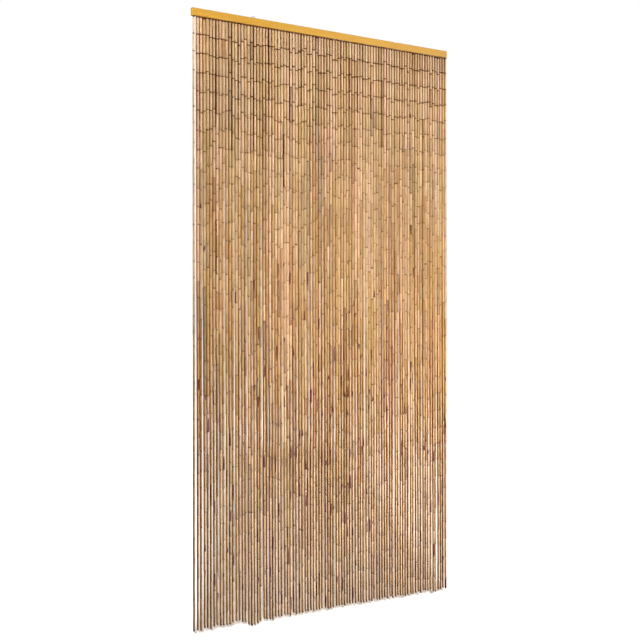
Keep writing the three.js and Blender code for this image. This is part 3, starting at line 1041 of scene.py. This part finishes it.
def pale_floor_material():
    """Pale matt floor paper, bright enough to fade into the backdrop."""
    material, tree, shader = new_material("pale_floor")
    tone = spread_to(tree, noise(tree, object_place(tree), 0.8, 2.0), 0.3, 0.7, 0.86, 0.90)
    grey = plug(tree, add(tree, "ShaderNodeCombineColor"), Red=tone, Green=tone, Blue=tone)
    plug(tree, shader, Base_Color=grey.outputs[0], Roughness=0.9, Specular_IOR_Level=0.1)
    plug(tree, shader, Emission_Color=FLOOR_GLOW, Emission_Strength=FLOOR_GLOW_STRENGTH)
    return material


def finish_node(node_name, material):
    """Gives a frame node its finish, in place of the plain one that it came with."""
    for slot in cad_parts[node_name].material_slots:
        slot.material = material


def make_floor(height):
    """A wide round floor, a little below the lowest strand."""
    angle = np.arange(FLOOR_SIDES) * 2 * math.pi / FLOOR_SIDES
    points = [(FLOOR_REACH * math.cos(a), FLOOR_REACH * math.sin(a), height) for a in angle]
    mesh = bpy.data.meshes.new("floor")
    mesh.from_pydata(points, [], [tuple(range(FLOOR_SIDES))])
    mesh.materials.append(pale_floor_material())
    floor = new_object("floor", mesh)
    floor.visible_diffuse = False
    return floor


def link_light(lamp, floor, state):
    """Lets a lamp light the floor alone, with INCLUDE, or everything but the floor, with EXCLUDE."""
    lit = bpy.data.collections.new(f"{lamp.name}_lights")
    lit.objects.link(floor)
    lit.collection_objects[0].light_linking.link_state = state
    lamp.light_linking.receiver_collection = lit


def make_floor_light(floor):
    """A soft sun that lights the floor alone, so that the curtain's shadow lies behind it."""
    light = bpy.data.lights.new("floor_light", "SUN")
    light.energy = FLOOR_LIGHT_STRENGTH
    light.angle = FLOOR_LIGHT_SOFTNESS
    lamp = new_object("floor_light", light)
    lamp.rotation_euler = FLOOR_LIGHT_TURN
    link_light(lamp, floor, "INCLUDE")


def make_light(name, turn, away, height, aim, width, tall, spread, power):
    """A soft panel light that faces a point of the curtain, and never shows itself."""
    light = bpy.data.lights.new(name, "AREA")
    light.shape = "RECTANGLE"
    light.size = width
    light.size_y = tall
    light.spread = math.radians(spread)
    light.energy = power
    light.color = LAMP_COLOUR
    lamp = new_object(name, light)
    turn = math.radians(turn)
    lamp.location = (away * math.sin(turn), -away * math.cos(turn), height)
    faced = Vector((aim[0], 0, aim[1]))
    lamp.rotation_euler = (faced - lamp.location).to_track_quat("-Z", "Y").to_euler()
    lamp.visible_camera = False
    return lamp


def make_surround(strength):
    """A white backdrop to the camera, and weak even light to everything else."""
    world = bpy.data.worlds.new("surround")
    world.use_nodes = True
    bpy.context.scene.world = world
    tree = world.node_tree
    tree.nodes.clear()
    seen = plug(tree, add(tree, "ShaderNodeBackground"), Color=(1, 1, 1, 1), Strength=1.0)
    lit = plug(tree, add(tree, "ShaderNodeBackground"), Color=SURROUND_COLOUR, Strength=strength)
    camera_ray = add(tree, "ShaderNodeLightPath").outputs["Is Camera Ray"]
    mix = add(tree, "ShaderNodeMixShader")
    fill(tree, mix.inputs, (camera_ray, lit.outputs[0], seen.outputs[0]))
    plug(tree, add(tree, "ShaderNodeOutputWorld"), Surface=mix.outputs[0])


def make_camera(stage):
    """A level camera at the photograph's place."""
    data = bpy.data.cameras.new("camera")
    data.sensor_width = 36
    data.lens = stage.camera_lens
    data.clip_end = 100
    camera = new_object("camera", data)
    camera.location = stage.camera_place
    camera.rotation_euler = (math.radians(90), 0, stage.camera_turn)
    bpy.context.scene.camera = camera


class FLYCURTAIN_OT_stage(Operator):
    """Makes the floor, the lights and the camera"""

    bl_idname = "fly_curtain.stage"
    bl_label = "Stage"

    def execute(self, context):
        stage = context.scene.fly_curtain_stage
        make_camera(stage)
        make_surround(stage.surround)
        floor = make_floor(stage.floor_height)
        make_floor_light(floor)
        for settings in SOFT_LIGHTS:
            link_light(make_light(*settings), floor, "EXCLUDE")
        context.scene.view_settings.view_transform = "Standard"
        return {"FINISHED"}


class FLYCURTAIN_OT_bar(Operator):
    """Gives the wooden header bar its varnished finish"""

    bl_idname = "fly_curtain.bar"
    bl_label = "Header bar"

    def execute(self, context):
        finish_node("header_bar", varnished_wood_material())
        return {"FINISHED"}


class FLYCURTAIN_OT_hangers(Operator):
    """Gives the two hanger plates and their four screws their metal finishes"""

    bl_idname = "fly_curtain.hangers"
    bl_label = "Hanger plates and screws"

    def execute(self, context):
        zinc = zinc_material()
        steel = screw_steel_material()
        for side in ("left", "right"):
            finish_node(f"hanger_plate_{side}", zinc)
            for level in ("upper", "lower"):
                finish_node(f"hanger_screw_{side}_{level}", steel)
        return {"FINISHED"}


class FLYCURTAIN_OT_canes(Operator):
    """Makes the bamboo canes of all strands, a few neighbouring strands to a piece"""

    bl_idname = "fly_curtain.canes"
    bl_label = "Bamboo canes"

    def execute(self, context):
        material = bamboo_cane_material()
        threaded = threading()
        for number in range(STRANDS // STRANDS_PER_PIECE):
            first = number * STRANDS_PER_PIECE + 1
            strands = range(first, first + STRANDS_PER_PIECE)
            cane_piece(f"cane_strands_{number + 1:02d}", strands, threaded, material)
        return {"FINISHED"}


class FLYCURTAIN_OT_strings(Operator):
    """Makes the strings, with a knot in each joint and one at each end"""

    bl_idname = "fly_curtain.strings"
    bl_label = "Strings and knots"

    def execute(self, context):
        strings_piece(threading(), twine_material())
        return {"FINISHED"}


class FLYCURTAIN_PT_panel(Panel):
    """Lists the curtain's operators"""

    bl_idname = "FLYCURTAIN_PT_panel"
    bl_label = "Bamboo Fly Curtain"
    bl_space_type = "VIEW_3D"
    bl_region_type = "UI"
    bl_category = "Fly Curtain"

    def draw(self, context):
        for operator in OPERATORS:
            self.layout.operator(operator.bl_idname)


OPERATORS = (
    FLYCURTAIN_OT_stage,
    FLYCURTAIN_OT_bar,
    FLYCURTAIN_OT_hangers,
    FLYCURTAIN_OT_canes,
    FLYCURTAIN_OT_strings,
)

SETTINGS = {
    "fly_curtain_canes": CaneProperties,
    "fly_curtain_string": StringProperties,
    "fly_curtain_bar": BarProperties,
    "fly_curtain_hangers": HangerProperties,
    "fly_curtain_stage": StageProperties,
}


def register():
    """Registers the settings, the operators and the panel."""
    for name, group in SETTINGS.items():
        bpy.utils.register_class(group)
        setattr(bpy.types.Scene, name, PointerProperty(type=group))
    for operator in OPERATORS:
        bpy.utils.register_class(operator)
    bpy.utils.register_class(FLYCURTAIN_PT_panel)


def unregister():
    """Takes back what register() did."""
    bpy.utils.unregister_class(FLYCURTAIN_PT_panel)
    for operator in reversed(OPERATORS):
        bpy.utils.unregister_class(operator)
    for name, group in reversed(SETTINGS.items()):
        delattr(bpy.types.Scene, name)
        bpy.utils.unregister_class(group)


def main():
    """Makes the whole curtain and its stage."""
    register()
    bpy.ops.fly_curtain.stage()
    bpy.ops.fly_curtain.bar()
    bpy.ops.fly_curtain.hangers()
    bpy.ops.fly_curtain.canes()
    bpy.ops.fly_curtain.strings()


if __name__ == "__main__":
    main()
